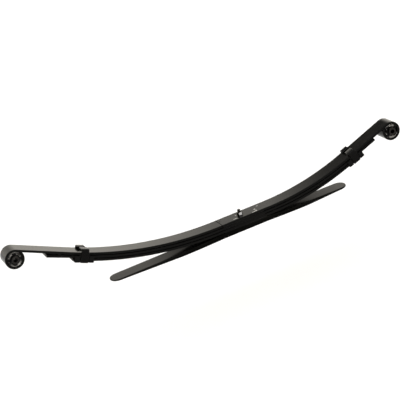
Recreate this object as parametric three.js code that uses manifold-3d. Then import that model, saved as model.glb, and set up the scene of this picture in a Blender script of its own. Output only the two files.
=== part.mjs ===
// A semi-elliptic vehicle leaf spring with an overload leaf. Millimetres, +Z up.
// X runs along the spring with the short front arm at +X, and Y runs along the eye bushings.
// The origin is the centre of the underside of the centre bolt's head, on the bolt's axis.

import * as THREE from "three";
import { mergeVertices } from "three/addons/utils/BufferGeometryUtils.js";
import Module from "manifold-3d";

const wasm = await Module();
wasm.setup();

// ---- driving dimensions ----

const REST_GAP = 0.3; // between pieces that rest on each other

// Leaves.
const LEAF_WIDTH = 63.5;
const LEAF_THICKNESS = 8;
const LEAF_GAP = 2.5; // held open by the spacers and the tip pads
const LEAF_PITCH = LEAF_THICKNESS + LEAF_GAP;
const PACK_LEAVES = 3;
const PACK_DEPTH = PACK_LEAVES * LEAF_PITCH - LEAF_GAP;

// The top surface of the main leaf, from the bolt outwards: a flat seat, one bend, a straight end.
const REAR = { side: -1, seat: 84, radius: 1180, bend: 515, straight: 180 };
const FRONT = { side: 1, seat: 96, radius: 925, bend: 323, straight: 172 };

// The second leaf straightens earlier than the main leaf, so its rear tip stands further off.
const SECOND_REAR = { side: -1, seat: 84, radius: 1180, bend: 476, straight: 219 };

// How far the shorter leaves reach, measured along the main leaf's top surface.
const SECOND_REACH = { rear: 678, front: 527 };
const THIRD_REACH = { rear: 591, front: 463 };

// Rolled eyes, which hang below the main leaf.
const EYE_OUTER = 32;
const EYE_INNER = EYE_OUTER - LEAF_THICKNESS;
const ROLL_TIP_GAP = 0.7; // between the tip of the roll and the leaf's underside
const ROLL_TIP_ANGLE = THREE.MathUtils.degToRad(27);

// Overload leaf: thick, nearly straight, tapered to rounded tips.
const OVERLOAD_THICKNESS = 16;
const OVERLOAD_SEAT = 84;
const OVERLOAD_TOP_SAG = 5.5;
const OVERLOAD_BOTTOM_SAG = 2.7;
const OVERLOAD_SHOULDER = 230;
const OVERLOAD_TIP_BOTTOM = 11;
const OVERLOAD_TIP_TOP = 15.2;
const OVERLOAD_TIP_ROUND = 28;
const OVERLOAD_REACH = { rear: 483, front: 387 };

// Centre bolt, with its locating head below the overload leaf.
const BOLT_RADIUS = 5.5;
const BOLT_HOLE_RADIUS = 5.95;
const BOLT_SPOT_FACE_RADIUS = 10.8; // a shallow recess in the leaf under the nut, and over the head
const BOLT_HEAD_RADIUS = 10;
const BOLT_HEAD_HEIGHT = 6;
const BOLT_HEAD_CHAMFER = 1;
const BOLT_STUB = 18.5; // above the main leaf
const BOLT_TIP_CHAMFER = 1.2;
const NUT_ACROSS_FLATS = 17.5;
const NUT_HEIGHT = 9.5;

// Spacers between the leaves at the seat.
const SPACER_LENGTH = 150;
const SPACER_WIDTH = 60;

// Tip pads: a disc in the gap and a peg in the leaf below it.
const SECOND_PAD = { disc: 20, peg: 5, rear: 652, front: 502 };
const SECOND_REAR_PAD_GAP = 4.2;
const THIRD_PAD = { disc: 11, peg: 4, rear: 575, front: 452 };
const PAD_PEG_LENGTH = 6;
const PEG_CLEARANCE = 0.4;

// Rebound clips: a strap round the pack with both tabs folded over the main leaf.
const CLIP_STATION = { rear: 553, front: 434.5 };
const STRAP_WIDTH = 25.4;
const STRAP_THICKNESS = 4;
const STRAP_BEND_OUTER = 6;
const STRAP_BEND_INNER = STRAP_BEND_OUTER - STRAP_THICKNESS;
const TAB_RISE = { rear: { left: 4.5, right: 7.8 }, front: { left: 2.7, right: 6 } }; // off the main leaf
const RIGHT_TAB_END = -6;
const LEFT_TAB_END = 11;
const LINER_THICKNESS = 1.2;
const LINER_LIP_THICKNESS = 4.2;
const LINER_CORNER_INSET = STRAP_BEND_INNER - REST_GAP - LINER_THICKNESS;
const LINER_LENGTH = 64;
const LINER_LIP_LENGTH = 16.5;
const LINER_FLOOR_GAP = 0.5;
const LINER_TOP_DROP = 2; // below the main leaf's top surface
const LINER_LIP_TOP_DROP = 12;
const RIVET_RADIUS = 4.1;
const RIVET_HOLE_RADIUS = 4.5;
const RIVET_HEAD_RADIUS = 7.5;
const RIVET_HEAD_HEIGHT = 4;
const RIVET_TAIL_RADIUS = 6;
const RIVET_TAIL_HEIGHT = 1.4;

// Eye bushings: an outer shell, a rubber with four slots and an inner sleeve.
const SHELL_OUTER = EYE_INNER - REST_GAP;
const SHELL_WALL = 1.2;
const SHELL_LENGTH = 62.5;
const RUBBER_OUTER = SHELL_OUTER - SHELL_WALL - REST_GAP;
const RUBBER_HUB = 17.3;
const RUBBER_LENGTH = 61;
const SLOT_COUNT = 4;
const SLOT_ANGLE = THREE.MathUtils.degToRad(54);
const SLOT_TURN = { rear: THREE.MathUtils.degToRad(37), front: THREE.MathUtils.degToRad(78) };
const SLEEVE_OUTER = 12.5;
const SLEEVE_BORE = 7.25;
const SLEEVE_LENGTH = 80;

// Heights at the seat, from the underside of the bolt's head.
const OVERLOAD_BOTTOM = BOLT_HEAD_HEIGHT;
const OVERLOAD_TOP = OVERLOAD_BOTTOM + OVERLOAD_THICKNESS;
const MAIN_TOP = OVERLOAD_TOP + LEAF_GAP + PACK_DEPTH;

// How finely round outlines are stepped.
const LEAF_STEPS = 16;
const ROUND_STEPS = 20;
const SMALL_STEPS = 4;

// ---- materials ----

function material(color, roughness, metalness) {
  return new THREE.MeshStandardMaterial({ color, roughness, metalness });
}

const spring = new THREE.Group();

function addPiece(name, geometry, paint, parent = spring) {
  const mesh = new THREE.Mesh(geometry, paint);
  mesh.name = name;
  parent.add(mesh);
  return mesh;
}

// ---- solids ----

function toSolid(geometry) {
  const bare = geometry.clone();
  bare.deleteAttribute("normal");
  bare.deleteAttribute("uv");
  const merged = mergeVertices(bare);
  const vertProperties = merged.attributes.position.array;
  const triVerts = new Uint32Array(merged.index.array);
  return new wasm.Manifold(new wasm.Mesh({ numProp: 3, vertProperties, triVerts }));
}

function toGeometry(solid) {
  const mesh = solid.getMesh();
  const geometry = new THREE.BufferGeometry();
  geometry.setAttribute("position", new THREE.BufferAttribute(mesh.vertProperties, 3));
  geometry.setIndex(new THREE.BufferAttribute(mesh.triVerts, 1));
  return geometry;
}

function cut(geometry, tools) {
  const start = toSolid(geometry);
  return toGeometry(tools.reduce((solid, tool) => solid.subtract(toSolid(tool)), start));
}

function join(geometries) {
  return toGeometry(geometries.map(toSolid).reduce((a, b) => a.add(b)));
}

function common(a, b) {
  return toGeometry(toSolid(a).intersect(toSolid(b)));
}

function extrude(shape, depth, curveSegments) {
  const geometry = new THREE.ExtrudeGeometry(shape, { depth, bevelEnabled: false, curveSegments });
  return geometry.translate(0, 0, -depth / 2);
}

// An outline drawn in X and Z, extruded along Y.
function acrossSpring(shape, width, steps) {
  return extrude(shape, width, steps).rotateX(Math.PI / 2);
}

// An outline drawn in Y and Z, extruded along X.
function alongSpring(shape, length, steps) {
  return extrude(shape, length, steps).rotateX(Math.PI / 2).rotateZ(Math.PI / 2);
}

function verticalRod(radius, low, high) {
  const rod = new THREE.CylinderGeometry(radius, radius, high - low, ROUND_STEPS);
  return rod.rotateX(Math.PI / 2).translate(0, 0, (low + high) / 2);
}

// A profile of [radius, height] points, turned about the vertical.
function turned(profile) {
  const points = profile.map(([radius, height]) => new THREE.Vector2(radius, height));
  return new THREE.LatheGeometry(points, ROUND_STEPS).rotateX(Math.PI / 2);
}

function disc(radius) {
  const shape = new THREE.Shape();
  shape.absarc(0, 0, radius, 0, 2 * Math.PI, false);
  return shape;
}

function ring(outer, inner, length) {
  const shape = disc(outer);
  shape.holes.push(disc(inner));
  return acrossSpring(shape, length, LEAF_STEPS);
}

// ---- the spring's line ----

// The bend's angle that is left behind at a reach along the main leaf's top surface.
function turnAt(arm, reach) {
  return THREE.MathUtils.clamp((reach - arm.seat) / arm.radius, 0, arm.bend / arm.radius);
}

// The point at a reach along the main leaf's top surface and a depth below it.
function pointAt(arm, reach, depth) {
  const turn = turnAt(arm, reach);
  const flat = Math.min(reach, arm.seat);
  const straight = Math.max(0, reach - arm.seat - arm.bend);
  const out = flat + (arm.radius + depth) * Math.sin(turn) + straight * Math.cos(turn);
  const rise = arm.radius - (arm.radius + depth) * Math.cos(turn) + straight * Math.sin(turn);
  return new THREE.Vector2(arm.side * out, MAIN_TOP + rise);
}

// A group whose X runs along the leaves and whose Z = 0 is the main leaf's top surface.
function frameAt(arm, reach) {
  const group = new THREE.Group();
  const point = pointAt(arm, reach, 0);
  group.position.set(point.x, 0, point.y);
  group.rotation.y = -arm.side * turnAt(arm, reach);
  spring.add(group);
  return group;
}

// The same place, for a tool that cuts a leaf.
function placedAt(geometry, arm, reach) {
  const point = pointAt(arm, reach, 0);
  return geometry.rotateY(-arm.side * turnAt(arm, reach)).translate(point.x, 0, point.y);
}

function bendTo(shape, arm, reach, depth, outwards) {
  const base = -Math.PI / 2;
  const tip = base + arm.side * turnAt(arm, reach);
  const from = outwards ? base : tip;
  const to = outwards ? tip : base;
  const radius = arm.radius + depth;
  shape.absarc(arm.side * arm.seat, MAIN_TOP + arm.radius, radius, from, to, to < from);
}

function lineTo(shape, point) {
  shape.lineTo(point.x, point.y);
}

function eyeCentre(arm) {
  return pointAt(arm, arm.seat + arm.bend + arm.straight, EYE_OUTER);
}

// The rolled eye: over the top, round and back to the leaf's underside.
function rollTo(shape, arm, outerFirst) {
  const centre = eyeCentre(arm);
  const start = Math.PI / 2 + arm.side * (arm.bend / arm.radius);
  const tipDepth = EYE_INNER - ROLL_TIP_GAP;
  const outerEnd = start - arm.side * (2 * Math.PI - Math.acos(tipDepth / EYE_OUTER));
  const innerEnd = start - arm.side * (2 * Math.PI - ROLL_TIP_ANGLE);
  const tipRadius = tipDepth / Math.cos(ROLL_TIP_ANGLE);
  const tipX = centre.x + tipRadius * Math.cos(innerEnd);
  const tipZ = centre.y + tipRadius * Math.sin(innerEnd);
  const clockwise = arm.side > 0;
  if (outerFirst) {
    shape.absarc(centre.x, centre.y, EYE_OUTER, start, outerEnd, clockwise);
    shape.lineTo(tipX, tipZ);
    shape.absarc(centre.x, centre.y, EYE_INNER, innerEnd, start, !clockwise);
  } else {
    shape.absarc(centre.x, centre.y, EYE_INNER, start, innerEnd, clockwise);
    shape.lineTo(tipX, tipZ);
    shape.absarc(centre.x, centre.y, EYE_OUTER, outerEnd, start, !clockwise);
  }
}

// ---- leaves ----

function boltHole() {
  return verticalRod(BOLT_HOLE_RADIUS, 0, MAIN_TOP + BOLT_STUB);
}

function mainLeaf() {
  const rearReach = REAR.seat + REAR.bend + REAR.straight;
  const frontReach = FRONT.seat + FRONT.bend + FRONT.straight;
  const shape = new THREE.Shape();
  const start = pointAt(REAR, rearReach, 0);
  shape.moveTo(start.x, start.y);
  bendTo(shape, REAR, rearReach, 0, false);
  bendTo(shape, FRONT, frontReach, 0, true);
  rollTo(shape, FRONT, true);
  bendTo(shape, FRONT, frontReach, LEAF_THICKNESS, false);
  bendTo(shape, REAR, rearReach, LEAF_THICKNESS, true);
  rollTo(shape, REAR, false);
  const spotFace = verticalRod(BOLT_SPOT_FACE_RADIUS, MAIN_TOP - REST_GAP, MAIN_TOP + BOLT_STUB);
  return cut(acrossSpring(shape, LEAF_WIDTH, LEAF_STEPS), [boltHole(), spotFace]);
}

// A shorter leaf, with holes for its tip pads' pegs and the clips' rivets.
function shortLeaf(order, rearArm, reach, pad, riveted) {
  const top = order * LEAF_PITCH;
  const bottom = top + LEAF_THICKNESS;
  const shape = new THREE.Shape();
  const start = pointAt(rearArm, reach.rear, top);
  shape.moveTo(start.x, start.y);
  bendTo(shape, rearArm, reach.rear, top, false);
  bendTo(shape, FRONT, reach.front, top, true);
  lineTo(shape, pointAt(FRONT, reach.front, top));
  lineTo(shape, pointAt(FRONT, reach.front, bottom));
  bendTo(shape, FRONT, reach.front, bottom, false);
  bendTo(shape, rearArm, reach.rear, bottom, true);
  lineTo(shape, pointAt(rearArm, reach.rear, bottom));
  const tools = [boltHole()];
  for (const [arm, key] of [[rearArm, "rear"], [FRONT, "front"]]) {
    const peg = verticalRod(pad.peg + PEG_CLEARANCE, -bottom - LEAF_GAP, -top + LEAF_GAP);
    tools.push(placedAt(peg, arm, pad[key]));
    if (riveted) {
      const rivet = verticalRod(RIVET_HOLE_RADIUS, -bottom - LEAF_GAP, -top + LEAF_GAP);
      tools.push(placedAt(rivet, arm, CLIP_STATION[key]));
    }
  }
  return cut(acrossSpring(shape, LEAF_WIDTH, LEAF_STEPS), tools);
}

// Seen from the side: flat on the seat, then sagging a little, then tapered to the tips.
function overloadSide() {
  const { rear, front } = OVERLOAD_REACH;
  const sagTop = OVERLOAD_TOP - OVERLOAD_TOP_SAG;
  const sagBottom = OVERLOAD_BOTTOM - OVERLOAD_BOTTOM_SAG;
  const middle = (OVERLOAD_SEAT + OVERLOAD_SHOULDER) / 2;
  const shape = new THREE.Shape();
  shape.moveTo(-rear, OVERLOAD_TIP_BOTTOM);
  shape.lineTo(-OVERLOAD_SHOULDER, sagBottom);
  shape.quadraticCurveTo(-middle, sagBottom, -OVERLOAD_SEAT, OVERLOAD_BOTTOM);
  shape.lineTo(OVERLOAD_SEAT, OVERLOAD_BOTTOM);
  shape.quadraticCurveTo(middle, sagBottom, OVERLOAD_SHOULDER, sagBottom);
  shape.lineTo(front, OVERLOAD_TIP_BOTTOM);
  shape.lineTo(front, OVERLOAD_TIP_TOP);
  shape.lineTo(OVERLOAD_SHOULDER, sagTop);
  shape.quadraticCurveTo(middle, sagTop, OVERLOAD_SEAT, OVERLOAD_TOP);
  shape.lineTo(-OVERLOAD_SEAT, OVERLOAD_TOP);
  shape.quadraticCurveTo(-middle, sagTop, -OVERLOAD_SHOULDER, sagTop);
  shape.lineTo(-rear, OVERLOAD_TIP_TOP);
  return acrossSpring(shape, LEAF_WIDTH, LEAF_STEPS);
}

// Seen from above: a bar with elliptic ends.
function overloadPlan() {
  const { rear, front } = OVERLOAD_REACH;
  const half = LEAF_WIDTH / 2;
  const quarter = Math.PI / 2;
  const shape = new THREE.Shape();
  shape.absellipse(front - OVERLOAD_TIP_ROUND, 0, OVERLOAD_TIP_ROUND, half, -quarter, quarter);
  shape.absellipse(OVERLOAD_TIP_ROUND - rear, 0, OVERLOAD_TIP_ROUND, half, quarter, 3 * quarter);
  return extrude(shape, 2 * MAIN_TOP, LEAF_STEPS / 2);
}

function overloadLeaf() {
  const spotFace = verticalRod(BOLT_SPOT_FACE_RADIUS, 0, OVERLOAD_BOTTOM + REST_GAP);
  return cut(common(overloadSide(), overloadPlan()), [boltHole(), spotFace]);
}

const leafPaint = () => material(0x1d1e1c, 0.42, 0.35);

addPiece("main_leaf", mainLeaf(), leafPaint());
addPiece("second_leaf", shortLeaf(1, SECOND_REAR, SECOND_REACH, SECOND_PAD, false), leafPaint());
addPiece("third_leaf", shortLeaf(2, REAR, THIRD_REACH, THIRD_PAD, true), leafPaint());
addPiece("overload_leaf", overloadLeaf(), leafPaint());

// ---- seat spacers and tip pads ----

function spacerPlate(bottom) {
  const thickness = LEAF_GAP - 2 * REST_GAP;
  const plate = new THREE.BoxGeometry(SPACER_LENGTH, SPACER_WIDTH, thickness);
  plate.translate(0, 0, bottom + REST_GAP + thickness / 2);
  return cut(plate, [boltHole()]);
}

["lower", "middle", "upper"].forEach((level, index) => {
  const bottom = OVERLOAD_TOP + index * LEAF_PITCH;
  addPiece(`${level}_seat_spacer`, spacerPlate(bottom), material(0x2b2b2a, 0.6, 0.2));
});

function tipPad(order, pad, gap) {
  const top = -order * LEAF_PITCH + gap - REST_GAP;
  const under = -order * LEAF_PITCH + REST_GAP;
  const pegEnd = under - PAD_PEG_LENGTH;
  return turned([
    [0, pegEnd],
    [pad.peg, pegEnd],
    [pad.peg, under],
    [pad.disc, under],
    [pad.disc, top],
    [0, top],
  ]);
}

function addPad(name, pad, order, arm, reach, gap = LEAF_GAP) {
  addPiece(name, tipPad(order, pad, gap), material(0x24242a, 0.55, 0), frameAt(arm, reach));
}

addPad("second_leaf_rear_pad", SECOND_PAD, 1, SECOND_REAR, SECOND_PAD.rear, SECOND_REAR_PAD_GAP);
addPad("second_leaf_front_pad", SECOND_PAD, 1, FRONT, SECOND_PAD.front);
addPad("third_leaf_rear_pad", THIRD_PAD, 2, REAR, THIRD_PAD.rear);
addPad("third_leaf_front_pad", THIRD_PAD, 2, FRONT, THIRD_PAD.front);

// ---- centre bolt ----

function centreBolt() {
  const end = MAIN_TOP + BOLT_STUB;
  return turned([
    [0, 0],
    [BOLT_HEAD_RADIUS - BOLT_HEAD_CHAMFER, 0],
    [BOLT_HEAD_RADIUS, BOLT_HEAD_CHAMFER],
    [BOLT_HEAD_RADIUS, BOLT_HEAD_HEIGHT],
    [BOLT_RADIUS, BOLT_HEAD_HEIGHT],
    [BOLT_RADIUS, end - BOLT_TIP_CHAMFER],
    [BOLT_RADIUS - BOLT_TIP_CHAMFER, end],
    [0, end],
  ]);
}

function centreNut() {
  const hexagon = new THREE.Shape();
  const corner = NUT_ACROSS_FLATS / Math.sqrt(3);
  for (let i = 0; i < 6; i += 1) {
    const angle = (i * Math.PI) / 3;
    const point = new THREE.Vector2(corner * Math.cos(angle), corner * Math.sin(angle));
    if (i === 0) hexagon.moveTo(point.x, point.y);
    else lineTo(hexagon, point);
  }
  hexagon.holes.push(disc(BOLT_RADIUS + REST_GAP));
  return extrude(hexagon, NUT_HEIGHT, LEAF_STEPS / 2).translate(0, 0, MAIN_TOP + NUT_HEIGHT / 2);
}

addPiece("centre_bolt", centreBolt(), material(0x2e2d2b, 0.45, 0.8));
addPiece("centre_bolt_nut", centreNut(), material(0x34332f, 0.4, 0.8));

// ---- rebound clips ----

// A round corner of a strip, centred inside it; quarters are counted from +Y.
function corner(shape, y, z, radius, fromQuarter, toQuarter) {
  const quarter = Math.PI / 2;
  const clockwise = toQuarter < fromQuarter;
  shape.absarc(y, z, radius, fromQuarter * quarter, toQuarter * quarter, clockwise);
}

function clipStrap(rise) {
  const inner = LEAF_WIDTH / 2 + REST_GAP + LINER_THICKNESS + REST_GAP;
  const innerFloor = -(PACK_DEPTH + LINER_FLOOR_GAP + LINER_THICKNESS + REST_GAP);
  const y = inner - STRAP_BEND_INNER;
  const floorZ = innerFloor + STRAP_BEND_INNER;
  const rightZ = rise.right - STRAP_BEND_INNER;
  const leftZ = rise.left - STRAP_BEND_INNER;
  const shape = new THREE.Shape();
  shape.moveTo(RIGHT_TAB_END, rise.right + STRAP_THICKNESS);
  corner(shape, -y, rightZ, STRAP_BEND_OUTER, 1, 2);
  corner(shape, -y, floorZ, STRAP_BEND_OUTER, 2, 3);
  corner(shape, y, floorZ, STRAP_BEND_OUTER, 3, 4);
  corner(shape, y, leftZ, STRAP_BEND_OUTER, 0, 1);
  shape.lineTo(LEFT_TAB_END, rise.left + STRAP_THICKNESS);
  shape.lineTo(LEFT_TAB_END, rise.left);
  corner(shape, y, leftZ, STRAP_BEND_INNER, 1, 0);
  corner(shape, y, floorZ, STRAP_BEND_INNER, 0, -1);
  corner(shape, -y, floorZ, STRAP_BEND_INNER, -1, -2);
  corner(shape, -y, rightZ, STRAP_BEND_INNER, 2, 1);
  shape.lineTo(RIGHT_TAB_END, rise.right);
  return cut(alongSpring(shape, STRAP_WIDTH, SMALL_STEPS), [rivetHole()]);
}

function rivetHole() {
  return verticalRod(RIVET_HOLE_RADIUS, -2 * PACK_DEPTH, -PACK_DEPTH);
}

// One trough of the liner, open at the top.
function linerTrough(thickness, length, topDrop) {
  const inner = LEAF_WIDTH / 2 + REST_GAP;
  const floor = -(PACK_DEPTH + LINER_FLOOR_GAP);
  const outer = inner + thickness;
  const y = inner - LINER_CORNER_INSET;
  const z = floor + LINER_CORNER_INSET;
  const shape = new THREE.Shape();
  shape.moveTo(-outer, -topDrop);
  corner(shape, -y, z, LINER_CORNER_INSET + thickness, 2, 3);
  corner(shape, y, z, LINER_CORNER_INSET + thickness, 3, 4);
  shape.lineTo(outer, -topDrop);
  shape.lineTo(inner, -topDrop);
  shape.lineTo(inner, floor);
  shape.lineTo(-inner, floor);
  shape.lineTo(-inner, -topDrop);
  return alongSpring(shape, length, SMALL_STEPS);
}

function clipLiner() {
  const shift = (LINER_LENGTH - LINER_LIP_LENGTH) / 2;
  const between = LINER_LENGTH - 2 * LINER_LIP_LENGTH;
  const trough = linerTrough(LINER_THICKNESS, between + LINER_THICKNESS, LINER_TOP_DROP);
  const lips = [-shift, shift].map((x) => {
    return linerTrough(LINER_LIP_THICKNESS, LINER_LIP_LENGTH, LINER_LIP_TOP_DROP).translate(x, 0, 0);
  });
  return cut(join([trough, ...lips]), [rivetHole()]);
}

function clipRivet() {
  const strapUnder = -(PACK_DEPTH + LINER_FLOOR_GAP + LINER_THICKNESS + REST_GAP + STRAP_THICKNESS);
  const headTop = strapUnder - REST_GAP;
  const tailUnder = -2 * LEAF_PITCH + REST_GAP;
  return turned([
    [0, headTop - RIVET_HEAD_HEIGHT],
    [RIVET_HEAD_RADIUS / 2, headTop - RIVET_HEAD_HEIGHT],
    [RIVET_HEAD_RADIUS, headTop - RIVET_HEAD_HEIGHT / 3],
    [RIVET_HEAD_RADIUS, headTop],
    [RIVET_RADIUS, headTop],
    [RIVET_RADIUS, tailUnder],
    [RIVET_TAIL_RADIUS, tailUnder],
    [RIVET_TAIL_RADIUS, tailUnder + RIVET_TAIL_HEIGHT],
    [0, tailUnder + RIVET_TAIL_HEIGHT],
  ]);
}

for (const [arm, key] of [[REAR, "rear"], [FRONT, "front"]]) {
  const place = frameAt(arm, CLIP_STATION[key]);
  addPiece(`${key}_clip_strap`, clipStrap(TAB_RISE[key]), material(0x2a2826, 0.45, 0.4), place);
  addPiece(`${key}_clip_liner`, clipLiner(), material(0x141416, 0.7, 0), place);
  addPiece(`${key}_clip_rivet`, clipRivet(), material(0x2e2d2b, 0.45, 0.6), place);
}

// ---- eye bushings ----

// The rubber reaches the shell between the slots and shrinks to its hub in them.
function bushingRubber(firstSlot) {
  const shape = new THREE.Shape();
  const step = (2 * Math.PI) / SLOT_COUNT;
  for (let i = 0; i < SLOT_COUNT; i += 1) {
    const slotStart = firstSlot + i * step - SLOT_ANGLE / 2;
    const slotEnd = slotStart + SLOT_ANGLE;
    shape.absarc(0, 0, RUBBER_HUB, slotStart, slotEnd, false);
    shape.absarc(0, 0, RUBBER_OUTER, slotEnd, slotStart + step, false);
  }
  const bore = SLEEVE_OUTER + REST_GAP;
  const bored = new THREE.CylinderGeometry(bore, bore, 2 * RUBBER_LENGTH, 2 * LEAF_STEPS);
  return cut(acrossSpring(shape, RUBBER_LENGTH, SMALL_STEPS), [bored]);
}

for (const [arm, key] of [[REAR, "rear"], [FRONT, "front"]]) {
  const centre = eyeCentre(arm);
  const eye = new THREE.Group();
  eye.position.set(centre.x, 0, centre.y);
  spring.add(eye);
  const shell = ring(SHELL_OUTER, SHELL_OUTER - SHELL_WALL, SHELL_LENGTH);
  addPiece(`${key}_bushing_shell`, shell, material(0x8b8b86, 0.35, 0.9), eye);
  addPiece(`${key}_bushing_rubber`, bushingRubber(SLOT_TURN[key]), material(0x17171a, 0.75, 0), eye);
  const sleeve = ring(SLEEVE_OUTER, SLEEVE_BORE, SLEEVE_LENGTH);
  addPiece(`${key}_bushing_sleeve`, sleeve, material(0x77767a, 0.4, 0.85), eye);
}

export default spring;
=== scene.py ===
"""The looks of a leaf spring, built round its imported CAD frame.

Lengths are in mm until make() turns them into metres, unless a comment says metres. A reach is
measured along the spring from the centre bolt, and a depth down from the main leaf's top surface.
"""

import math

import bmesh
import bpy
from mathutils import Matrix, Vector


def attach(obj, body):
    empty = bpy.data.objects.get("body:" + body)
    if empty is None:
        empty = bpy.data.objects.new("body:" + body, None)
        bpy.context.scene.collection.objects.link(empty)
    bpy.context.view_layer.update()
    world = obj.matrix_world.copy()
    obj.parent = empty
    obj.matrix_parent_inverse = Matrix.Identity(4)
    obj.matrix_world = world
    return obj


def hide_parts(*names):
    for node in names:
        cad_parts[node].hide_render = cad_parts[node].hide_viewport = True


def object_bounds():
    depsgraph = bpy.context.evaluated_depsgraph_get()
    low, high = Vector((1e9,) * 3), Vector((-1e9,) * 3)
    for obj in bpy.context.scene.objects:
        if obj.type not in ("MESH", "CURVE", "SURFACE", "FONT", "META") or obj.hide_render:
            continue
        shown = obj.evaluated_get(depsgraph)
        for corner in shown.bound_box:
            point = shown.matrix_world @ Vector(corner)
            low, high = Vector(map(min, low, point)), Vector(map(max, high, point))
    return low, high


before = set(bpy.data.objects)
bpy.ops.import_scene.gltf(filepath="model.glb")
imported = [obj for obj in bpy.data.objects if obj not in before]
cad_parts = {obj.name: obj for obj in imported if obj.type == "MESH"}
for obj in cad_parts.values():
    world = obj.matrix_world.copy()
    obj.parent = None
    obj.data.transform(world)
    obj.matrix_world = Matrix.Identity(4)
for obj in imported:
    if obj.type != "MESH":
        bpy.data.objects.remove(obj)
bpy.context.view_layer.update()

MM = 0.001
TAU = 2 * math.pi

# ---- dimensions, as in the CAD ----

GAP = 0.3
LEAF_HALF = 31.75
LEAF_T = 8.0
LEAF_GAP = 2.5
PITCH = LEAF_T + LEAF_GAP
PACK = 29.0
MAIN_TOP = 53.5
REAR = {"key": "rear", "side": -1, "seat": 84, "radius": 1180, "bend": 515, "straight": 180}
FRONT = {"key": "front", "side": 1, "seat": 96, "radius": 925, "bend": 323, "straight": 172}
ARMS = (REAR, FRONT)
SECOND_REAR = {**REAR, "bend": 476, "straight": 219}
SECOND_REACH = {"rear": 678, "front": 527}
THIRD_REACH = {"rear": 591, "front": 463}
EYE_R = 32.0
ROLL_TIP_DEPTH = 23.3
ROLL_TIP_ANGLE = math.radians(27)

OVERLOAD = {"seat": 84, "shoulder": 230, "top": 22.0, "bottom": 6.0, "round": 28.0}
OVERLOAD_SAG = {"top": 5.5, "bottom": 2.7}
OVERLOAD_TIP = {"top": 15.2, "bottom": 11.0}
OVERLOAD_REACH = {"rear": 483, "front": 387}

SPACER_HALF = 30
SPACER_T = 1.9
SECOND_PAD = {"radius": 20, "peg": 5}
THIRD_PAD = {"radius": 11, "peg": 4}
SECOND_REAR_PAD_GAP = 4.2
PEG_LENGTH = 6

BOLT_R = 5.5
BOLT_END = MAIN_TOP + 18.5
NUT_FLATS = 17.5
NUT_HEIGHT = 9.5
NUT_BORE_R = 5.8

CLIP_STATION = {"rear": 553, "front": 434.5}
LINER_T = 1.2
LINER_LIP_T = 4.2
LINER_LIP_TOP = -12.0
LINER_FLOOR = -(PACK + 0.5)
STRAP_HALF = 12.7
STRAP_T = 4.0
STRAP_BEND = 6.0
STRAP_INNER = LEAF_HALF + GAP + LINER_T + GAP
STRAP_FLOOR = LINER_FLOOR - LINER_T - GAP
LEFT_TAB_TOP = {"rear": 8.5, "front": 6.7}
RIGHT_TAB_TOP = {"rear": 11.8, "front": 10.0}
LEFT_TAB_END = 11.0
RIGHT_TAB_END = -6.0

SHELL = {"outer": 23.7, "inner": 22.5, "half": 31.2, "bevel": 0.35}
SLEEVE = {"outer": 12.5, "inner": 7.25, "half": 40, "bevel": 0.8}
RUBBER_OUTER_R = 22.15
RUBBER_SLOT_R = 17.3
RUBBER_BORE_R = 12.85
RUBBER_HALF = 30.4
SLOT_HALF = math.radians(27)
SLOT_TURN = {"rear": math.radians(37), "front": math.radians(78)}

# ---- meshes ----

# Turned profiles start and end this far from their axis.
AXIS_R = 0.01


def make(node, shape, material, body="leaf_pack", sharp=40):
    """Builds (points, faces) as the piece that replaces a CAD node and rides on its body."""
    points, faces = shape
    name = f"{node}_looks"
    mesh = bpy.data.meshes.new(name)
    mesh.from_pydata([Vector(point) * MM for point in points], [], faces)
    bm = bmesh.new()
    bm.from_mesh(mesh)
    bmesh.ops.remove_doubles(bm, verts=bm.verts, dist=1e-6)
    bmesh.ops.recalc_face_normals(bm, faces=bm.faces)
    bm.to_mesh(mesh)
    bm.free()
    mesh.polygons.foreach_set("use_smooth", [True] * len(mesh.polygons))
    mesh.set_sharp_from_angle(angle=math.radians(sharp))
    mesh.materials.append(material)
    piece = bpy.data.objects.new(name, mesh)
    bpy.context.scene.collection.objects.link(piece)
    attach(piece, body)
    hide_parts(node)


def loft(rings, loop=False):
    """Faces between rings of equal length, with both ends closed, or joined up in a loop."""
    count = len(rings[0])
    points = [point for ring in rings for point in ring]
    faces = []
    pairs = len(rings) if loop else len(rings) - 1
    for i in range(pairs):
        here = i * count
        ahead = ((i + 1) % len(rings)) * count
        for j in range(count):
            k = (j + 1) % count
            faces.append((here + j, here + k, ahead + k, ahead + j))
    if not loop:
        faces.append(tuple(range(count)))
        faces.append(tuple(range(len(points) - count, len(points))))
    return points, faces


def on_circle(radius, angle, height):
    return (radius * math.cos(angle), radius * math.sin(angle), height)


def circle(radius, height, steps):
    """Points round the local Z axis."""
    return [on_circle(radius, TAU * i / steps, height) for i in range(steps)]


def turned(profile, place, steps=64, loop=False):
    """A profile of (radius, height) points turned about the local Z axis."""
    rings = []
    for radius, height in profile:
        rings.append([place(*point) for point in circle(radius, height, steps)])
    return loft(rings, loop)


def bevel_steps(bevel):
    """(distance from the end, inset) round a bevel, from the full section outwards."""
    steps = []
    for degrees in (0, 30, 60, 90):
        angle = math.radians(degrees)
        steps.append((bevel * (1 - math.sin(angle)), bevel * (1 - math.cos(angle))))
    return steps


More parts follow.
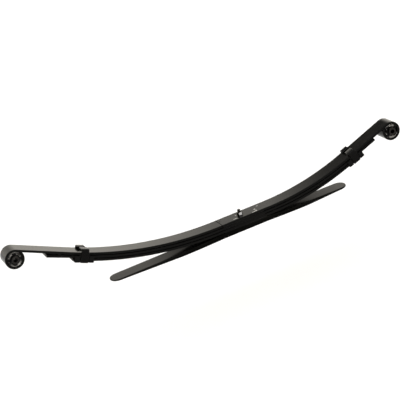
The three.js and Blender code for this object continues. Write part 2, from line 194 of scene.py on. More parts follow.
def rounded_section(half, top, bottom, radius, steps=4):
    """(across, depth) points round a bar's section, with a hold point past each rounded corner."""
    thick = bottom - top
    radius = min(radius, 0.42 * thick)
    hold = min(0.4, 0.05 * thick)
    section = []
    for side, depth in ((1, top), (-1, top), (-1, bottom), (1, bottom)):
        inward = 1 if depth == top else -1
        centre = side * (half - radius)
        level = depth + inward * radius
        arc = []
        for i in range(steps + 1):
            angle = math.radians(90 * i / steps)
            across = centre + side * radius * math.cos(angle)
            arc.append((across, level - inward * radius * math.sin(angle)))
        arc = [(side * half, level + inward * hold), *arc, (centre - side * hold, depth)]
        if (side > 0) != (depth == top):
            arc.reverse()
        section.extend(arc)
    return section


def sweep(stations):
    """Lofts sections along a line in the XZ plane: (x, z, normal x, normal z, section)."""
    rings = []
    for x, z, nx, nz, section in stations:
        rings.append([(x - depth * nx, y, z - depth * nz) for y, depth in section])
    return loft(rings)


# ---- the spring's line ----


def turn_at(arm, reach):
    """The angle the arm has bent through at a reach."""
    return min(max((reach - arm["seat"]) / arm["radius"], 0), arm["bend"] / arm["radius"])


def point_at(arm, reach, depth):
    """(x, z) at a reach along the arm and a depth below its top surface."""
    turn = turn_at(arm, reach)
    radius = arm["radius"] + depth
    straight = max(0, reach - arm["seat"] - arm["bend"])
    out = min(reach, arm["seat"]) + radius * math.sin(turn) + straight * math.cos(turn)
    rise = arm["radius"] - radius * math.cos(turn) + straight * math.sin(turn)
    return arm["side"] * out, MAIN_TOP + rise


def normal_at(arm, reach):
    turn = turn_at(arm, reach)
    return -arm["side"] * math.sin(turn), math.cos(turn)


def on_arm(arm, reach):
    """Places local points on the main leaf's top, X along the leaves and Z away from them."""
    x0, z0 = point_at(arm, reach, 0)
    nx, nz = normal_at(arm, reach)

    def place(x, y, z):
        return (x0 + x * nz + z * nx, y, z0 - x * nx + z * nz)

    return place


def eye_centre(arm):
    return point_at(arm, arm["seat"] + arm["bend"] + arm["straight"], EYE_R)


def in_eye(arm):
    """Places local points in the eye, with local Z along the bushing."""
    x0, z0 = eye_centre(arm)

    def place(x, y, z):
        return (x0 + x, z, z0 + y)

    return place


# ---- materials ----

PAINT_IOR = 1.15
ORANGE_PEEL = 0.00004
SCUFF_LEVEL = 0.62
# Colour of the lighter edges: chipped paint, and on the clips partly a painted highlight.
WORN_AND_HIGHLIT_EDGE = (0.09, 0.088, 0.082)
RUST = (0.16, 0.07, 0.03)
# Light colour of the seat marks: rubbed paint, and in one mark a painted reflection of the nut.
RUBBED_AND_REFLECTED = (0.55, 0.54, 0.5)
FULL_GLOSS = 0.5
ROOT_GLOSS = 0.03

# The overload leaf's gloss is cut, as painted shade under the pack, as far out as ROOT_END, and
# full gloss ROOT_FADE further on, in metres.
ROOT_END = 0.2
ROOT_FADE = 0.18

# The reach of the line pressed across the rear end of the seat, with its (shift, depth) points.
CREASE = 79
CREASE_CUT = (
    (-3, 0),
    (-0.9, 0),
    (-0.45, 0.12),
    (-0.2, 0.5),
    (0.2, 0.5),
    (0.45, 0.12),
    (0.9, 0),
    (3, 0),
)

# (centre, half size, fade) of the crease's dark line, a painted shade, and of a speck of dirt near
# it, in metres.
CREASE_LINE = ((-CREASE * MM, 0, 0), (0.0009, 0.04), 0.0006)
CREASE_DIRT = ((-(CREASE - 7) * MM, 0.0066, 0), (0.0014, 0.002), 0.001)

# (centre, half size) of each light mark beside the bolt, in metres: marks rubbed in the paint, and
# the last a painted reflection of the nut.
SEAT_MARK_FADE = 0.0015
SEAT_MARKS_AND_NUT_REFLECTION = (
    ((0.0515, -0.0145, 0), (0.0018, 0.0115)),
    ((0.044, -0.025, 0), (0.0085, 0.0013)),
    ((0.0687, 0.013, 0), (0.0015, 0.0015)),
    ((-0.0255, -0.0215, 0), (0.007, 0.0018)),
    # A painted reflection of the nut's bright flats on the leaf's top beside it.
    ((-0.0135, 0.006, 0), (0.0015, 0.003)),
)

# (axis, size of the normal along it, fade) of the faces that point along an axis.
UP_AND_DOWN = ("Z", 0.85, 0.45)
SIDEWAYS = ("Y", 0.95, 0.05)


class Nodes:
    """A short way to write a material's node tree."""

    def __init__(self, name):
        self.material = bpy.data.materials.new(name)
        self.material.use_nodes = True
        self.tree = self.material.node_tree
        self.shader = self.tree.nodes["Principled BSDF"]
        self.place = self.add("ShaderNodeTexCoord").outputs["Object"]

    def add(self, kind, **settings):
        node = self.tree.nodes.new(kind)
        for key, value in settings.items():
            setattr(node, key, value)
        return node

    def link(self, a, b):
        self.tree.links.new(a, b)

    def noise(self, scale, detail=4, roughness=0.5, stretch=None):
        node = self.add("ShaderNodeTexNoise")
        node.inputs["Scale"].default_value = scale
        node.inputs["Detail"].default_value = detail
        node.inputs["Roughness"].default_value = roughness
        source = self.place
        if stretch:
            mapping = self.add("ShaderNodeMapping")
            mapping.inputs["Scale"].default_value = stretch
            self.link(source, mapping.inputs["Vector"])
            source = mapping.outputs["Vector"]
        self.link(source, node.inputs["Vector"])
        return node.outputs["Fac"]

    def ramp(self, source, low, high, a, b):
        """Takes source from low to high into a to b."""
        node = self.add("ShaderNodeMapRange")
        values = (low, high, a, b)
        for key, value in zip(("From Min", "From Max", "To Min", "To Max"), values):
            node.inputs[key].default_value = value
        self.link(source, node.inputs["Value"])
        return node.outputs["Result"]

    def mix(self, factor, a, b):
        """Mixes two colours, each given as three numbers or as a socket."""
        node = self.add("ShaderNodeMix", data_type="RGBA")
        self.link(factor, node.inputs["Factor"])
        for key, value in (("A", a), ("B", b)):
            socket = [s for s in node.inputs if s.name == key and s.type == "RGBA"][0]
            if isinstance(value, tuple):
                socket.default_value = (*value, 1)
            else:
                self.link(value, socket)
        return [s for s in node.outputs if s.type == "RGBA"][0]

    def combine(self, operation, a, b):
        node = self.add("ShaderNodeMath", operation=operation)
        self.link(a, node.inputs[0])
        self.link(b, node.inputs[1])
        return node.outputs[0]

    def multiply(self, a, b):
        return self.combine("MULTIPLY", a, b)

    def band(self, vector, axis, low, high, soft):
        """1 where a coordinate's size lies between low and high, fading over soft."""
        split = self.add("ShaderNodeSeparateXYZ")
        self.link(vector, split.inputs[0])
        size = self.add("ShaderNodeMath", operation="ABSOLUTE")
        self.link(split.outputs[axis], size.inputs[0])
        rise = self.ramp(size.outputs[0], low - soft, low, 0, 1)
        fall = self.ramp(size.outputs[0], high, high + soft, 1, 0)
        return self.multiply(rise, fall)

    def spot(self, centre, half, soft):
        """1 in a box round a centre, given in metres, fading over soft."""
        shift = self.add("ShaderNodeVectorMath", operation="SUBTRACT")
        self.link(self.place, shift.inputs[0])
        shift.inputs[1].default_value = centre
        across = self.band(shift.outputs[0], "X", -soft, half[0], soft)
        return self.multiply(across, self.band(shift.outputs[0], "Y", -soft, half[1], soft))

    def facing(self, axis, low, soft):
        """1 on faces that point along an axis, either way."""
        normal = self.add("ShaderNodeNewGeometry").outputs["True Normal"]
        return self.band(normal, axis, low, 1.1, soft)

    def edges(self, low=0.52, high=0.6):
        """1 on outward edges, 0 elsewhere."""
        geometry = self.add("ShaderNodeNewGeometry")
        return self.ramp(geometry.outputs["Pointiness"], low, high, 0, 1)

    def bump(self, height, distance, strength, under=None):
        node = self.add("ShaderNodeBump")
        node.inputs["Distance"].default_value = distance
        node.inputs["Strength"].default_value = strength
        self.link(height, node.inputs["Height"])
        if under:
            self.link(under, node.inputs["Normal"])
        return node.outputs["Normal"]

    def finish(self, colour, roughness, normal=None, **others):
        """Links the shader; others are its further inputs, each a float or a socket."""
        self.link(colour, self.shader.inputs["Base Color"])
        self.link(roughness, self.shader.inputs["Roughness"])
        if normal:
            self.link(normal, self.shader.inputs["Normal"])
        for key, value in others.items():
            socket = self.shader.inputs[key.replace("_", " ")]
            if isinstance(value, float):
                socket.default_value = value
            else:
                self.link(value, socket)
        return self.material


def grey(level):
    return (level, level, level)


def black_paint(name, dark, light, rough=(0.1, 0.2), edge_wear_and_highlight=0.5, seat_marks=False, shade_under_pack=False):
    """Dipped black paint over rolled steel: orange peel, faint dust, small scuffs, and lighter
    edges that are chipped paint and, where raised as on the clips, also a painted highlight.
    """
    n = Nodes(name)
    cloud = n.noise(14, 6, 0.6)
    streak = n.noise(40, 5, 0.6, stretch=(0.15, 1, 1))
    scuff = n.noise(160, 6, 0.72, stretch=(0.4, 1, 1))
    patch = n.noise(9, 3, 0.5)
    colour = n.mix(n.ramp(cloud, 0.35, 0.7, 0, 1), dark, light)
    scratches = n.ramp(scuff, SCUFF_LEVEL, SCUFF_LEVEL + 0.06, 0, 0.55)
    marks = n.multiply(scratches, n.ramp(patch, 0.55, 0.7, 0, 1))
    colour = n.mix(marks, colour, tuple(min(1, 8 * c) for c in light))
    # Lighter edges: chipped paint, and where this is raised, as on the clips, also a painted
    # highlight along the straps' bends.
    wear_and_highlight = n.multiply(n.edges(), n.ramp(streak, 0.45, 0.7, 0, edge_wear_and_highlight))
    colour = n.mix(wear_and_highlight, colour, WORN_AND_HIGHLIT_EDGE)
    roughness = n.ramp(streak, 0.3, 0.75, rough[0], rough[1])
    fine = n.bump(n.noise(900, 3, 0.5), ORANGE_PEEL, 0.35)
    normal = n.bump(n.noise(90, 4, 0.55), ORANGE_PEEL * 2.5, 0.3, under=fine)
    gloss = FULL_GLOSS
    if seat_marks:
        colour, gloss = seat_scuffs_and_painted_light(n, colour)
    # Painted shade: the overload leaf loses its gloss near the bolt, where the pack above shades
    # it.
    if shade_under_pack:
        root = n.band(n.place, "X", -ROOT_FADE, ROOT_END, ROOT_FADE)
        gloss = n.ramp(root, 0, 1, FULL_GLOSS, ROOT_GLOSS)
    return n.finish(colour, roughness, normal, IOR=PAINT_IOR, Specular_IOR_Level=gloss)


def seat_scuffs_and_painted_light(n, colour):
    """Rubbed marks beside the bolt with a painted reflection of the nut among them, painted shade
    in the line pressed across the leaf, and dull dirt in a speck near it.
    """
    mark_break_up = n.ramp(n.noise(420, 3, 0.6, stretch=(0.5, 1, 1)), 0.42, 0.58, 0, 1)
    for centre, half in SEAT_MARKS_AND_NUT_REFLECTION:
        colour = n.mix(n.multiply(n.spot(centre, half, SEAT_MARK_FADE), mark_break_up), colour, RUBBED_AND_REFLECTED)
    # Painted shade: the gloss is cut along the crease line; the speck near it is dirt.
    dull = n.combine("MAXIMUM", n.spot(*CREASE_LINE), n.spot(*CREASE_DIRT))
    return colour, n.ramp(dull, 0, 1, FULL_GLOSS, 0)


def rubber(name, dark, light, rough=(0.5, 0.75), wall_reflection=None):
    """Moulded black rubber with a fine grain; a light colour given as the last argument is painted
    on the faces that point up or down, as a painted reflection in the slots.
    """
    n = Nodes(name)
    cloud = n.noise(60, 5, 0.6)
    colour = n.mix(n.ramp(cloud, 0.35, 0.75, 0, 1), dark, light)
    colour = n.mix(n.edges(), colour, tuple(2 * c for c in light))
    # Painted reflection: a light grey on the faces that point up or down, standing in for the
    # bright surround seen in the slots.
    if wall_reflection:
        colour = n.mix(n.facing(*UP_AND_DOWN), colour, wall_reflection)
    roughness = n.ramp(n.noise(220, 4, 0.6), 0.3, 0.7, rough[0], rough[1])
    normal = n.bump(n.noise(1600, 3, 0.6), 0.00008, 0.5)
    return n.finish(colour, roughness, normal, IOR=PAINT_IOR)


def steel(name, dark, light, rough=(0.25, 0.45), grain=(1, 1, 1), rust=0.0, facing_reflection=None):
    """Phosphated steel with machining grain and rust spots.

    Where its faces point the way that the last argument gives, they have a light colour and no
    metal, as a painted reflection.
    """
    n = Nodes(name)
    line = n.noise(500, 4, 0.6, stretch=grain)
    colour = n.mix(n.ramp(line, 0.3, 0.7, 0, 1), dark, light)
    colour = n.mix(n.edges(0.51, 0.58), colour, tuple(min(1, 1.4 * c) for c in light))
    if rust:
        spots = n.ramp(n.noise(260, 5, 0.7), 0.55, 0.68, 0, rust)
        patch = n.ramp(n.noise(45, 3), 0.45, 0.6, 0, 1)
        colour = n.mix(n.multiply(spots, patch), colour, RUST)
    metallic = 1.0
    # Painted reflection: faces that point one way get a light colour in place of metal.
    if facing_reflection:
        way, reflection_colour = facing_reflection
        reflection_mask = n.facing(*way)
        colour = n.mix(reflection_mask, colour, reflection_colour)
        metallic = n.ramp(reflection_mask, 0, 1, 1, 0)
    roughness = n.ramp(n.noise(300, 4, 0.6, stretch=grain), 0.3, 0.7, rough[0], rough[1])
    normal = n.bump(line, 0.00003, 0.5)
    return n.finish(colour, roughness, normal, Metallic=metallic)


LEAF_BLACK = ((0.0016, 0.0016, 0.0014), (0.003, 0.0029, 0.0025))
OVERLOAD_BLACK = ((0.002, 0.002, 0.0017), (0.0035, 0.0034, 0.003))
CLIP_BLACK = ((0.0013, 0.0013, 0.0011), (0.003, 0.0028, 0.0026))
SPACER_BLACK = (grey(0.002), grey(0.004))
RUBBER_BLACK = (grey(0.001), grey(0.002))
PAD_BLACK = ((0.006, 0.006, 0.007), (0.012, 0.012, 0.013))
FASTENER_BLACK = ((0.006, 0.006, 0.0055), (0.02, 0.019, 0.017))
SHELL_BLACK = (grey(0.004), grey(0.008))
SLEEVE_BLACK = (grey(0.008), (0.022, 0.021, 0.02))
# Light grey painted in the bushing slots as a painted reflection.
SLOT_PAINTED_REFLECTION = (0.5, 0.49, 0.47)
# Pale colour painted on the shell's faces that point up or down, a painted reflection seen through
# the slots.
SHELL_PAINTED_REFLECTION = (0.8, 0.79, 0.77)
# Light grey painted on the nut's flats that face along Y, a painted highlight.
NUT_PAINTED_HIGHLIGHT = (0.6, 0.6, 0.62)

MAIN_PAINT = black_paint("main_leaf_black_paint", *LEAF_BLACK, seat_marks=True)
LEAF_PAINT = black_paint("leaf_black_paint", *LEAF_BLACK)
# The overload paint carries painted shade near the pack.
OVERLOAD_PAINT = black_paint("overload_black_paint", *OVERLOAD_BLACK, shade_under_pack=True)
# The clips' stronger edge lightening is partly a painted highlight along the straps' bends.
CLIP_PAINT = black_paint("clip_black_paint", *CLIP_BLACK, rough=(0.14, 0.26), edge_wear_and_highlight=1.0)
SPACER_PAINT = black_paint("spacer_black_paint", *SPACER_BLACK, rough=(0.35, 0.5))
LINER_RUBBER = rubber("liner_black_rubber", *RUBBER_BLACK, rough=(0.4, 0.6))
# The bushing rubber carries a painted reflection in light grey inside its slots.
BUSH_RUBBER = rubber("bushing_black_rubber", *RUBBER_BLACK, wall_reflection=SLOT_PAINTED_REFLECTION)
PAD_PLASTIC = rubber("pad_black_plastic", *PAD_BLACK, rough=(0.35, 0.5))
BOLT_STEEL = steel("bolt_dark_steel", *FASTENER_BLACK, rough=(0.22, 0.38), rust=0.2)
# The nut carries a painted highlight on its flats that face along Y.
NUT_STEEL = steel("nut_steel_painted_highlight", *FASTENER_BLACK, facing_reflection=(SIDEWAYS, NUT_PAINTED_HIGHLIGHT))
# The shell carries a painted reflection on its faces that point up or down.
SHELL_STEEL = steel("shell_steel", *SHELL_BLACK, facing_reflection=(UP_AND_DOWN, SHELL_PAINTED_REFLECTION))
SLEEVE_STEEL = steel("sleeve_steel", *SLEEVE_BLACK, grain=(4, 0.3, 4), rust=0.15)

# ---- leaves ----

LEAF_EDGE = 1.5
LEAF_END_BEVEL = 0.9
BEND_STEP = 9
STRAIGHT_STEP = 30
ROLL_STEPS = 84
ROLL_TIP_INSET = 0.5
OVERLOAD_BEND_STEP = 9.733
OVERLOAD_EDGE = 2.4
OVERLOAD_TIP_HALF = 2.5
OVERLOAD_TIP_INSET = 0.8


def arm_reaches(arm, end):
    """Reaches from the seat to an end, close together on the bend."""
    bend_end = min(end, arm["seat"] + arm["bend"])
    count = max(2, round((bend_end - arm["seat"]) / BEND_STEP))
    reaches = [arm["seat"] + (bend_end - arm["seat"]) * i / count for i in range(count + 1)]
    if end > bend_end:
        count = max(1, round((end - bend_end) / STRAIGHT_STEP))
        reaches += [bend_end + (end - bend_end) * (i + 1) / count for i in range(count)]
    return reaches


def arm_station(arm, reach, section):
    x, z = point_at(arm, reach, 0)
    nx, nz = normal_at(arm, reach)
    return (x, z, nx, nz, section)


def roll_stations(arm):
    """From the arm's end round the eye to the roll's tip, which is cut parallel to the leaf."""
    cx, cz = eye_centre(arm)
    start = math.pi / 2 + arm["side"] * arm["bend"] / arm["radius"]
    stations = []
    for i in range(1, ROLL_STEPS + 1):
        along = (TAU - ROLL_TIP_ANGLE) * i / ROLL_STEPS
        remaining = TAU - along
        outer = EYE_R
        if remaining < math.pi / 2:
            outer = min(EYE_R, ROLL_TIP_DEPTH / math.cos(remaining))
        angle = start - arm["side"] * along
        nx, nz = math.cos(angle), math.sin(angle)
        inset = ROLL_TIP_INSET if i == ROLL_STEPS else 0
        top = EYE_R - outer + 0.6 * inset
        section = rounded_section(LEAF_HALF - inset, top, LEAF_T - 0.6 * inset, LEAF_EDGE)
        stations.append((cx + EYE_R * nx, cz + EYE_R * nz, nx, nz, section))
    return stations


def crease_stations(arm, full):
    """A fine line pressed across the top of the leaf near the end of its seat."""
    stations = []
    for shift, cut in CREASE_CUT:
        section = [(y, max(depth, cut)) for y, depth in full]
        stations.append(arm_station(arm, CREASE + shift, section))
    return stations


def main_leaf():
    full = rounded_section(LEAF_HALF, 0, LEAF_T, LEAF_EDGE)
    halves = []
    for arm in ARMS:
        end = arm["seat"] + arm["bend"] + arm["straight"]
        stations = crease_stations(arm, full) if arm is REAR else []
        stations += [arm_station(arm, reach, full) for reach in arm_reaches(arm, end)]
        halves.append(stations + roll_stations(arm))
    return sweep(halves[0][::-1] + halves[1])


def short_leaf(order, arms, reaches):
    """A leaf with square ends, lying order pitches under the main leaf."""
    top = order * PITCH
    bottom = top + LEAF_T
    full = rounded_section(LEAF_HALF, top, bottom, LEAF_EDGE)
    halves = []
    for arm in arms:
        end = reaches[arm["key"]]
        straight_end = end - 2 * LEAF_END_BEVEL
        stations = [arm_station(arm, reach, full) for reach in arm_reaches(arm, straight_end)]
        for back, inset in bevel_steps(LEAF_END_BEVEL):
            section = rounded_section(LEAF_HALF - inset, top + inset, bottom - inset, LEAF_EDGE)
            stations.append(arm_station(arm, end - back, section))
        halves.append(stations)
    return sweep(halves[0][::-1] + halves[1])


def overload_reach(x):
    return OVERLOAD_REACH["rear" if x < 0 else "front"]


def overload_level(x, which):
    """The height of the overload leaf's top or bottom at a distance from the bolt."""
    seat, shoulder = OVERLOAD["seat"], OVERLOAD["shoulder"]
    level, sag = OVERLOAD[which], OVERLOAD_SAG[which]
    out = abs(x)
    if out <= seat:
        return level
    if out <= shoulder:
        t = (out - seat) / (shoulder - seat)
        return level - sag * (1 - (1 - t) ** 2)
    sagged = level - sag
    t = (out - shoulder) / (overload_reach(x) - shoulder)
    return sagged + (OVERLOAD_TIP[which] - sagged) * t


def overload_outs(reach):
    """Distances from the bolt for one arm's stations, closer together round its tip."""
    seat, shoulder, tip = OVERLOAD["seat"], OVERLOAD["shoulder"], OVERLOAD["round"]
    body = reach - tip
    outs = [seat + i * OVERLOAD_BEND_STEP for i in range(16)]
    outs += [shoulder + (body - shoulder) * i / 8 for i in range(9)]
    outs += [body + tip * math.sin(math.radians(degrees)) for degrees in range(6, 91, 4)]
    return outs


def overload_leaf():
    xs = {-out for out in overload_outs(OVERLOAD_REACH["rear"])}
    xs.update(overload_outs(OVERLOAD_REACH["front"]))
    tip = OVERLOAD["round"]
    stations = []
    for x in sorted(xs):
        past = max(0, abs(x) - (overload_reach(x) - tip)) / tip
        half = LEAF_HALF * math.sqrt(max(0, 1 - past * past))
        top = overload_level(x, "top")
        thick = top - overload_level(x, "bottom")
        half = max(half, OVERLOAD_TIP_HALF)
        inset = OVERLOAD_TIP_INSET * max(0, past - 0.9) / 0.1
        section = rounded_section(half, inset, thick - inset, OVERLOAD_EDGE)
        stations.append((x, top, 0, 1, section))
    return sweep(stations)


second_leaf = short_leaf(1, (SECOND_REAR, FRONT), SECOND_REACH)
third_leaf = short_leaf(2, ARMS, THIRD_REACH)
make("main_leaf", main_leaf(), MAIN_PAINT)
make("second_leaf", second_leaf, LEAF_PAINT)
make("third_leaf", third_leaf, LEAF_PAINT)
make("overload_leaf", overload_leaf(), OVERLOAD_PAINT)

# ---- seat spacers and tip pads ----

SPACER_EDGE = 0.4
SPACER_STATIONS = ((-75, 0.5), (-74.7, 0.15), (-74, 0), (74, 0), (74.7, 0.15), (75, 0.5))
PEG_BEVEL = 0.8


def seat_spacer(top):
    """A flat plate with broken edges, between two leaves at the seat."""
    stations = []
    for x, inset in SPACER_STATIONS:
        drop = 0.3 * inset
        section = rounded_section(SPACER_HALF - inset, drop, SPACER_T - drop, SPACER_EDGE, 2)
        stations.append((x, top, 0, 1, section))
    return sweep(stations)


def tip_pad(arm, order, reach, size, gap=LEAF_GAP):
    """A moulded disc in the gap between two leaves, held by a peg in the leaf below."""
    radius, peg = size["radius"], size["peg"]
    top = -order * PITCH + gap - GAP
    under = -order * PITCH + GAP
    profile = [
        (AXIS_R, under - PEG_LENGTH),
        (peg - PEG_BEVEL, under - PEG_LENGTH),
        (peg, under - PEG_LENGTH + PEG_BEVEL),
        (peg, under),
        (radius - 0.3, under),
        (radius, under + 0.3),
        (radius, top - 0.4),
        (radius - 0.4, top),
        (AXIS_R, top),
    ]
    return turned(profile, on_arm(arm, reach))


TIP_PADS = {
    "second_leaf_rear_pad": tip_pad(SECOND_REAR, 1, 652, SECOND_PAD, SECOND_REAR_PAD_GAP),
    "second_leaf_front_pad": tip_pad(FRONT, 1, 502, SECOND_PAD),
    "third_leaf_rear_pad": tip_pad(REAR, 2, 575, THIRD_PAD),
    "third_leaf_front_pad": tip_pad(FRONT, 2, 452, THIRD_PAD),
}

for index, level in enumerate(("lower", "middle", "upper")):
    top = OVERLOAD["top"] + index * PITCH + LEAF_GAP - GAP
    make(f"{level}_seat_spacer", seat_spacer(top), SPACER_PAINT)
for node, shape in TIP_PADS.items():
    make(node, shape, PAD_PLASTIC)

# ---- centre bolt and nut ----

BOLT_STEPS = 36
BOLT_HEAD = ((AXIS_R, 0), (8.6, 0), (9.4, 0.3), (10, 1), (10, 5.6), (9.8, 6), (BOLT_R, 6))
BOLT_POINT = 1.4
THREAD_START = MAIN_TOP - 6
THREAD_RUN_IN = 2
THREAD_PITCH = 1.5
THREAD_DEPTH = 0.75
ROWS_PER_PITCH = 8
NUT_STEPS = 96
NUT_SINK = 0.9


def centre_bolt():
    """A round head with a broken edge, a plain shank and a cut thread to its pointed end."""
    rings = [circle(radius, height, BOLT_STEPS) for radius, height in BOLT_HEAD]
    rings.append(circle(BOLT_R, THREAD_START, BOLT_STEPS))
    length = BOLT_END - THREAD_START
    rows = round(length / THREAD_PITCH * ROWS_PER_PITCH)
    for row in range(1, rows + 1):
        height = THREAD_START + length * row / rows
        run_in = min(1, (height - THREAD_START) / THREAD_RUN_IN)
        point = max(0, height - (BOLT_END - BOLT_POINT))
        ring = []
        for i in range(BOLT_STEPS):
            phase = (height / THREAD_PITCH - i / BOLT_STEPS) % 1
            flank = min(1, max(0, 1.5 * (1 - abs(2 * phase - 1)) - 0.25))
            radius = min(BOLT_R - THREAD_DEPTH * flank * run_in, BOLT_R - 0.9 * point)
            ring.append(on_circle(radius, TAU * i / BOLT_STEPS, height))
        rings.append(ring)
    return loft(rings)


def hex_nut():
    """A hexagon whose corners are turned off to a cone at both ends, with a countersunk bore."""
    apothem = NUT_FLATS / 2
    cone = 0.94 * apothem
    rings = []
    for i in range(NUT_STEPS):
        angle = TAU * i / NUT_STEPS
        corner = apothem / math.cos(angle % (math.pi / 3) - math.pi / 6)
        drop = (corner - cone) * math.tan(math.radians(30))
        lower = [(NUT_BORE_R, NUT_SINK), (NUT_BORE_R + NUT_SINK, 0), (cone, 0), (corner, drop)]
        upper = [(radius, NUT_HEIGHT - height) for radius, height in reversed(lower)]
        profile = lower + upper
        rings.append([on_circle(radius, angle, MAIN_TOP + height) for radius, height in profile])
    return loft(rings, loop=True)


make("centre_bolt", centre_bolt(), BOLT_STEEL)
make("centre_bolt_nut", hex_nut(), NUT_STEEL, sharp=25)

# ---- rebound clips ----

STRAP_EDGE = 0.9
STRAP_END_BEVEL = 0.7
LIP_START = 15.5
LIP_END = 32.0
LIP_CORNER = 2.6
LIP_OVERLAP = 1.65
LINER_BEND = 0.5
LINER_MIDDLE_TOP = -2


def bent_line(points, radius, steps):
    """(place, direction) along a line through points, with its inner corners rounded."""
    corners = [Vector(point) for point in points]
    line = [(corners[0], (corners[1] - corners[0]).normalized())]
    for before, here, after in zip(corners, corners[1:], corners[2:]):
        arriving = (here - before).normalized()
        leaving = (after - here).normalized()
        for step in range(steps + 1):
            turn = step / steps * math.pi / 2
            back = arriving * radius * (1 - math.sin(turn))
            onward = leaving * radius * (1 - math.cos(turn))
            way = (arriving * math.cos(turn) + leaving * math.sin(turn)).normalized()
            line.append((here - back + onward, way))
    line.append((corners[-1], (corners[-1] - corners[-2]).normalized()))
    return line


def bent_strip(line, place, section_at):
    """Sweeps a section of (x, depth) points along a line, depth counted towards the line's left."""
    rings = []
    for i, (spot, way) in enumerate(line):
        inward = Vector((-way.y, way.x))
        rings.append([place(x, *(spot + inward * depth)) for x, depth in section_at(i)])
    return loft(rings)


def clip_strap(place, key):
    """One steel strap round the pack, with both tabs folded over the main leaf."""
    outer = STRAP_INNER + STRAP_T
    floor = STRAP_FLOOR - STRAP_T
    left, right = LEFT_TAB_TOP[key], RIGHT_TAB_TOP[key]
    points = [(RIGHT_TAB_END, right), (-outer, right), (-outer, floor)]
    points += [(outer, floor), (outer, left), (LEFT_TAB_END, left)]
    line = bent_line(points, STRAP_BEND, 8)
    ends = bevel_steps(STRAP_END_BEVEL)
    first, first_way = line[0]
    last, last_way = line[-1]
    head = [(first + first_way * back, first_way) for back, _ in reversed(ends)]
    tail = [(last - last_way * back, last_way) for back, _ in ends]
    insets = [inset for _, inset in ends]
    insets = insets[::-1] + [0] * (len(line) - 2) + insets
    line = head + line[1:-1] + tail

    def section_at(i):
        inset = insets[i]
        return rounded_section(STRAP_HALF - inset, inset, STRAP_T - inset, STRAP_EDGE)

    return bent_strip(line, place, section_at)


def liner_trough(place, top, section):
    """A trough open at the top, from a section of (x, thickness) points that ends at 0 each way."""
    inner = LEAF_HALF + GAP
    points = [(-inner, top), (-inner, LINER_FLOOR), (inner, LINER_FLOOR), (inner, top)]
    line = bent_line(points, LINER_BEND, 5)

    def section_at(i):
        thinned = 0.9 if i in (0, len(line) - 1) else 1
        return [(x, -thickness * thinned) for x, thickness in section]

    return bent_strip(line, place, section_at)


def clip_liner(place):
    """Moulded rubber: a thin trough under the strap between two thick, rounded lips."""
    outline = [
        (LIP_START, 0),
        (LIP_START, LINER_LIP_T - 1.2),
        (LIP_START + 0.4, LINER_LIP_T - 0.4),
        (LIP_START + 1.2, LINER_LIP_T),
    ]
    for degrees in range(0, 91, 18):
        angle = math.radians(degrees)
        x = LIP_END - LIP_CORNER + LIP_CORNER * math.sin(angle)
        outline.append((x, LINER_LIP_T - LIP_CORNER + LIP_CORNER * math.cos(angle)))
    outline.append((LIP_END, 0))
    parts = []
    for side in (-1, 1):
        section = [(side * x, thickness) for x, thickness in outline]
        parts.append(liner_trough(place, LINER_LIP_TOP, section))
    middle = LIP_START + LIP_OVERLAP
    section = [(-middle, 0), (-middle, LINER_T), (middle, LINER_T), (middle, 0)]
    parts.append(liner_trough(place, LINER_MIDDLE_TOP, section))
    points, faces = [], []
    for part_points, part_faces in parts:
        faces += [tuple(len(points) + i for i in face) for face in part_faces]
        points += part_points
    return points, faces


def clip_rivet(place):
    """A domed head under the strap, a shank and a flattened tail on the third leaf."""
    top = STRAP_FLOOR - STRAP_T - GAP
    tail = -2 * PITCH + GAP
    profile = [
        (AXIS_R, top - 4),
        (2.5, top - 3.8),
        (4.8, top - 3.1),
        (6.6, top - 1.8),
        (7.3, top - 0.7),
        (7.5, top),
        (4.1, top),
        (4.1, tail),
        (6, tail),
        (5.8, tail + 1),
        (5.2, tail + 1.4),
        (AXIS_R, tail + 1.4),
    ]
    return turned(profile, place, 48)


for arm in ARMS:
    key = arm["key"]
    place = on_arm(arm, CLIP_STATION[key])
    make(f"{key}_clip_strap", clip_strap(place, key), CLIP_PAINT)
    make(f"{key}_clip_liner", clip_liner(place), LINER_RUBBER)
    make(f"{key}_clip_rivet", clip_rivet(place), CLIP_PAINT)

# ---- eye bushings ----

RUBBER_STEPS = 240
RUBBER_BEVEL = 0.9


def tube_profile(outer, inner, half, bevel):
    """A closed (radius, height) profile of a tube with broken edges."""
    edge = [
        (outer, half - bevel),
        (outer - 0.3 * bevel, half - 0.3 * bevel),
        (outer - bevel, half),
        (inner + bevel, half),
        (inner + 0.3 * bevel, half - 0.3 * bevel),
        (inner, half - bevel),
    ]
    return edge + [(radius, -height) for radius, height in reversed(edge)]


def smooth_step(value, low, high):
    t = min(1, max(0, (value - low) / (high - low)))
    return t * t * (3 - 2 * t)


def bushing_rubber(place, first_slot):
    """Four spokes between the sleeve's hub and the shell, with rounded slots between them."""
    rings = []
    for i in range(RUBBER_STEPS):
        angle = TAU * i / RUBBER_STEPS
        off = abs((angle - first_slot + math.pi / 4) % (math.pi / 2) - math.pi / 4)
        spoke = smooth_step(off, SLOT_HALF - 0.05, SLOT_HALF + 0.045)
        outer = RUBBER_SLOT_R + (RUBBER_OUTER_R - RUBBER_SLOT_R) * spoke
        profile = tube_profile(outer, RUBBER_BORE_R, RUBBER_HALF, RUBBER_BEVEL)
        rings.append([place(*on_circle(radius, angle, height)) for radius, height in profile])
    return loft(rings, loop=True)


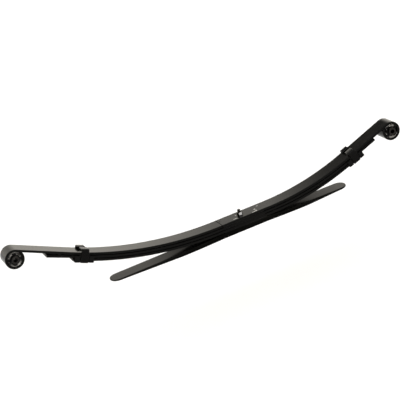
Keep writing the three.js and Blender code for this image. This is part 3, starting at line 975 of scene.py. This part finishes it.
for arm in ARMS:
    key = arm["key"]
    place = in_eye(arm)
    shell = turned(tube_profile(**SHELL), place, 96, loop=True)
    core = bushing_rubber(place, SLOT_TURN[key])
    sleeve = turned(tube_profile(**SLEEVE), place, 72, loop=True)
    make(f"{key}_bushing_shell", shell, SHELL_STEEL)
    make(f"{key}_bushing_rubber", core, BUSH_RUBBER)
    make(f"{key}_bushing_sleeve", sleeve, SLEEVE_STEEL, body=f"{key}_sleeve")

# ---- floor, light and camera, in metres ----

FLOOR_HALF = 30
FLOOR_DROP = 0.25
WORLD_STRENGTH = 2.6

# (position from straight down to straight up, level, how much blue of it) of the surround.
WORLD_LEVELS = (
    (0.0, 0.75, 0.86),
    (0.25, 0.85, 0.86),
    (0.325, 0.76, 0.86),
    (0.341, 0.78, 0.87),
    (0.365, 0.66, 0.87),
    (0.43, 0.39, 0.87),
    (0.475, 0.13, 0.88),
    (0.5, 0.04, 0.9),
    (0.62, 0.046, 1.0),
    (0.76, 0.615, 1.0),
    (1.0, 0.73, 1.0),
)

SOFTBOX_PLACE = (-3.2, -0.6, 2.2)
SOFTBOX_TARGET = (0, 0, 0.1)
SOFTBOX_SIZE = 1.4
SOFTBOX_POWER = 12

CAMERA_AZIMUTH = math.radians(16.075)
CAMERA_ELEVATION = math.radians(19.943)
CAMERA_ROLL = math.radians(-16.325)
CAMERA_DISTANCE = 5.1374
CAMERA_AIM = Vector((-0.11754, 0, 0.15312))
CAMERA_LENS = 141.59


def studio_floor():
    """A plain pale floor, far enough below the spring for its shadow to fade."""
    n = Nodes("pale_floor")
    colour = n.mix(n.ramp(n.noise(0.6, 3), 0.3, 0.7, 0, 1), grey(0.87), grey(0.89))
    roughness = n.ramp(n.noise(3, 3), 0.3, 0.7, 0.85, 0.95)
    material = n.finish(colour, roughness, IOR=1.3)
    corners = [(x * FLOOR_HALF, y * FLOOR_HALF, 0) for x, y in ((-1, -1), (1, -1), (1, 1), (-1, 1))]
    mesh = bpy.data.meshes.new("floor")
    mesh.from_pydata(corners, [], [(0, 1, 2, 3)])
    mesh.materials.append(material)
    floor = bpy.data.objects.new("floor", mesh)
    floor.location.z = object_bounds()[0][2] - FLOOR_DROP
    bpy.context.scene.collection.objects.link(floor)


def studio_world():
    """A surround that is bright low down, dark at the horizon and pale overhead."""
    world = bpy.data.worlds.new("studio")
    bpy.context.scene.world = world
    world.use_nodes = True
    tree = world.node_tree
    place = tree.nodes.new("ShaderNodeTexCoord")
    split = tree.nodes.new("ShaderNodeSeparateXYZ")
    ramp = tree.nodes.new("ShaderNodeValToRGB")
    tree.links.new(place.outputs["Generated"], split.inputs[0])
    tree.links.new(split.outputs["Z"], ramp.inputs["Fac"])
    tree.links.new(ramp.outputs["Color"], tree.nodes["Background"].inputs["Color"])
    stops = ramp.color_ramp.elements
    while len(stops) < len(WORLD_LEVELS):
        stops.new(0.5)
    for stop, (position, level, blue) in zip(stops, WORLD_LEVELS):
        stop.position = position
        stop.color = (level, level * (2 + blue) / 3, level * blue, 1)
    tree.nodes["Background"].inputs["Strength"].default_value = WORLD_STRENGTH


def softbox():
    """A square light at the upper left of the spring."""
    light = bpy.data.lights.new("left_softbox", "AREA")
    light.shape = "RECTANGLE"
    light.size = SOFTBOX_SIZE
    light.size_y = SOFTBOX_SIZE
    light.energy = SOFTBOX_POWER
    lamp = bpy.data.objects.new("left_softbox", light)
    ahead = Vector(SOFTBOX_TARGET) - Vector(SOFTBOX_PLACE)
    lamp.location = SOFTBOX_PLACE
    lamp.rotation_euler = ahead.to_track_quat("-Z", "Y").to_euler()
    bpy.context.scene.collection.objects.link(lamp)


def photo_camera():
    """A long lens, a little rolled, aimed at a point above the rear arm."""
    sa, ca = math.sin(CAMERA_AZIMUTH), math.cos(CAMERA_AZIMUTH)
    se, ce = math.sin(CAMERA_ELEVATION), math.cos(CAMERA_ELEVATION)
    sr, cr = math.sin(CAMERA_ROLL), math.cos(CAMERA_ROLL)
    ahead = Vector((sa * ce, ca * ce, -se))
    level = Vector((ca, -sa, 0))
    above = Vector((sa * se, ca * se, ce))
    right = cr * level + sr * above
    up = -sr * level + cr * above
    camera = bpy.data.cameras.new("camera")
    camera.lens = CAMERA_LENS
    camera.sensor_width = 36
    camera.clip_end = 200
    eye = bpy.data.objects.new("camera", camera)
    turn = Matrix((right, up, -ahead)).transposed().to_4x4()
    eye.matrix_world = Matrix.Translation(CAMERA_AIM - ahead * CAMERA_DISTANCE) @ turn
    bpy.context.scene.collection.objects.link(eye)
    bpy.context.scene.camera = eye


studio_floor()
studio_world()
softbox()
photo_camera()
bpy.context.scene.view_settings.view_transform = "Standard"
